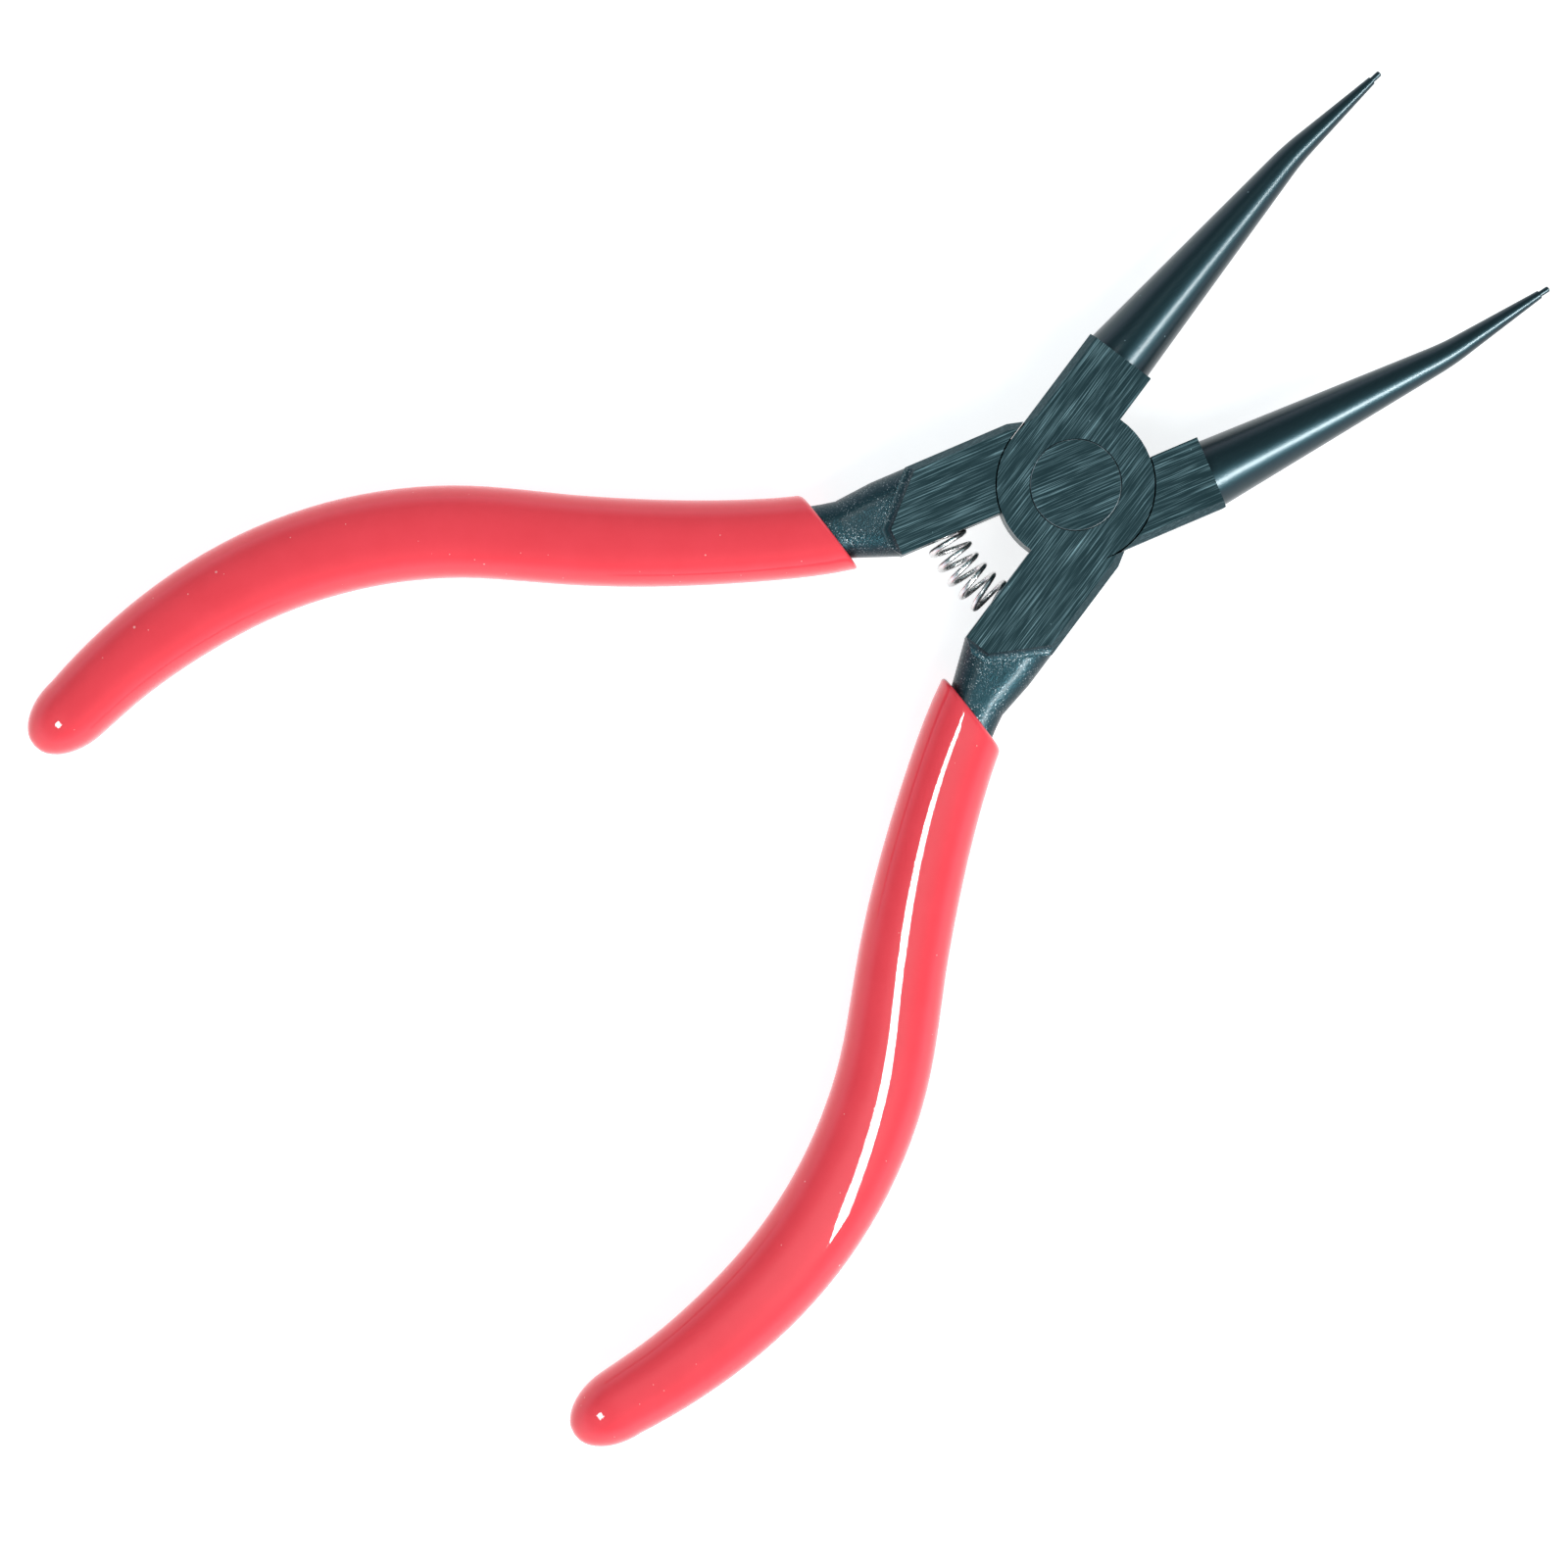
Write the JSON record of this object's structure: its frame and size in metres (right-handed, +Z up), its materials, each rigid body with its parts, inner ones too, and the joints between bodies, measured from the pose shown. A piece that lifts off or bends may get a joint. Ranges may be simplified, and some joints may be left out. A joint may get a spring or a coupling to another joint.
{
  "type": "internal retaining ring pliers",
  "caption": "Small sprung hand pliers with round tapering jaws that end in fine pins, and dip-coated handles.",
  "frame": {"origin": "on the pivot axis, in the lower face of the head that the pliers lie on", "axes": "+Z up along the pivot axis, +Y towards the tips, +X to the right seen from above"},
  "size_m": [0.081, 0.1219, 0.008],
  "materials": {
    "blackened_steel": "forged and blackened, head flats coarsely ground",
    "rivet_steel": "blackened, ground flush",
    "spring_wire": "bright drawn wire",
    "dip_coating": "glossy dipped vinyl",
    "pin_steel": "hardened, dark, polished"
  },
  "bodies": {
    "front": {"front_half": "blackened_steel", "front_grip": "dip_coating", "front_tip_pin": "pin_steel", "return_spring": "spring_wire"},
    "rear": {"rear_half": "blackened_steel", "pivot_rivet": "rivet_steel", "rear_grip": "dip_coating", "rear_tip_pin": "pin_steel"}
  },
  "joints": [
    {"name": "pivot", "type": "hinge", "parent": "front", "child": "rear", "pos_m": [0, 0, 0.004], "axis": [0, 0, 1], "range_deg": [0, 30], "stiffness_Nm_per_rad": 0.14, "springref_deg": -5.73, "deforming": ["return_spring"]}
  ]
}
